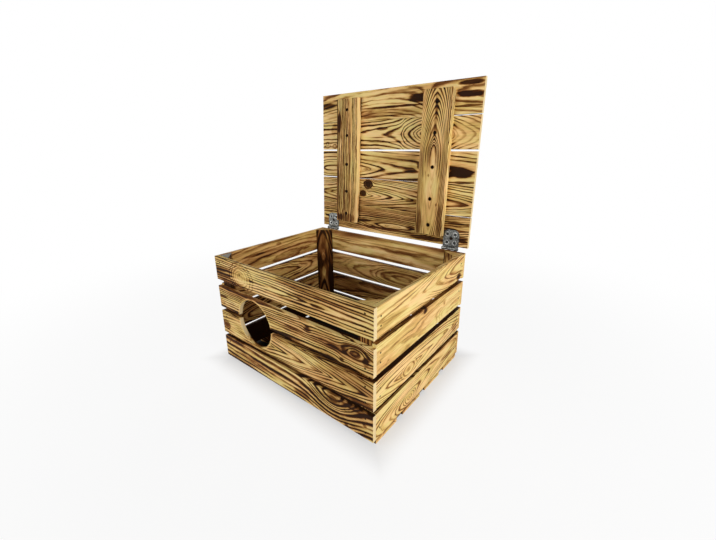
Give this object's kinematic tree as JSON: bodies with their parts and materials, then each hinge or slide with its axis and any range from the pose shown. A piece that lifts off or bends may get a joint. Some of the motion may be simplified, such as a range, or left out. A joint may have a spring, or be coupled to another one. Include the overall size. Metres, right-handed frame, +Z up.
{
  "type": "slatted wooden box with hinged lid",
  "caption": "Open-slatted pine crate with scorched grain, a round hole in the front wall and a battened lid that swings up on rear hinges.",
  "frame": {"origin": "on the underside of the bottom boards, under the middle of the crate, with the lid left out", "axes": "+X to the right, +Y to the hinged back, +Z up; the front wall with the round hole faces -Y"},
  "size_m": [0.5, 0.4357, 0.7089],
  "materials": {
    "front_pine": "scorched and brushed, satin",
    "side_pine": "scorched and brushed, satin",
    "lid_pine": "scorched and brushed, satin",
    "post_pine": "scorched and brushed, satin",
    "zinc": "zinc plated, dull",
    "dark_steel": "blackened by the torch"
  },
  "bodies": {
    "crate": {"front_slat_1": "front_pine", "front_slat_2": "front_pine", "front_slat_3": "front_pine", "front_slat_4": "front_pine", "back_slat_1": "side_pine", "back_slat_2": "side_pine", "back_slat_3": "side_pine", "back_slat_4": "side_pine", "left_slat_1": "side_pine", "left_slat_2": "side_pine", "left_slat_3": "side_pine", "left_slat_4": "side_pine", "right_slat_1": "side_pine", "right_slat_2": "side_pine", "right_slat_3": "side_pine", "right_slat_4": "side_pine", "corner_post_front_left": "post_pine", "corner_post_front_right": "post_pine", "corner_post_back_left": "post_pine", "corner_post_back_right": "post_pine", "bottom_board_1": "side_pine", "bottom_board_2": "side_pine", "bottom_board_3": "side_pine", "bottom_board_4": "side_pine", "hinge_left_box_leaf": "zinc", "hinge_left_pin": "zinc", "hinge_right_box_leaf": "zinc", "hinge_right_pin": "zinc", "box_leaf_screws": "zinc", "front_nails": "dark_steel", "back_nails": "dark_steel", "left_nails": "dark_steel", "right_nails": "dark_steel", "bottom_nails": "dark_steel"},
    "lid": {"lid_board_1": "lid_pine", "lid_board_2": "lid_pine", "lid_board_3": "lid_pine", "lid_board_4": "lid_pine", "lid_board_5": "lid_pine", "lid_batten_left": "lid_pine", "lid_batten_right": "lid_pine", "hinge_left_lid_leaf": "zinc", "hinge_right_lid_leaf": "zinc", "lid_leaf_screws": "zinc", "batten_screws": "dark_steel"}
  },
  "joints": [
    {"name": "lid_hinge", "type": "hinge", "parent": "crate", "child": "lid", "pos_m": [0, 0.204, 0.3035], "axis": [1, 0, 0], "range_deg": [0, 93.5]}
  ]
}
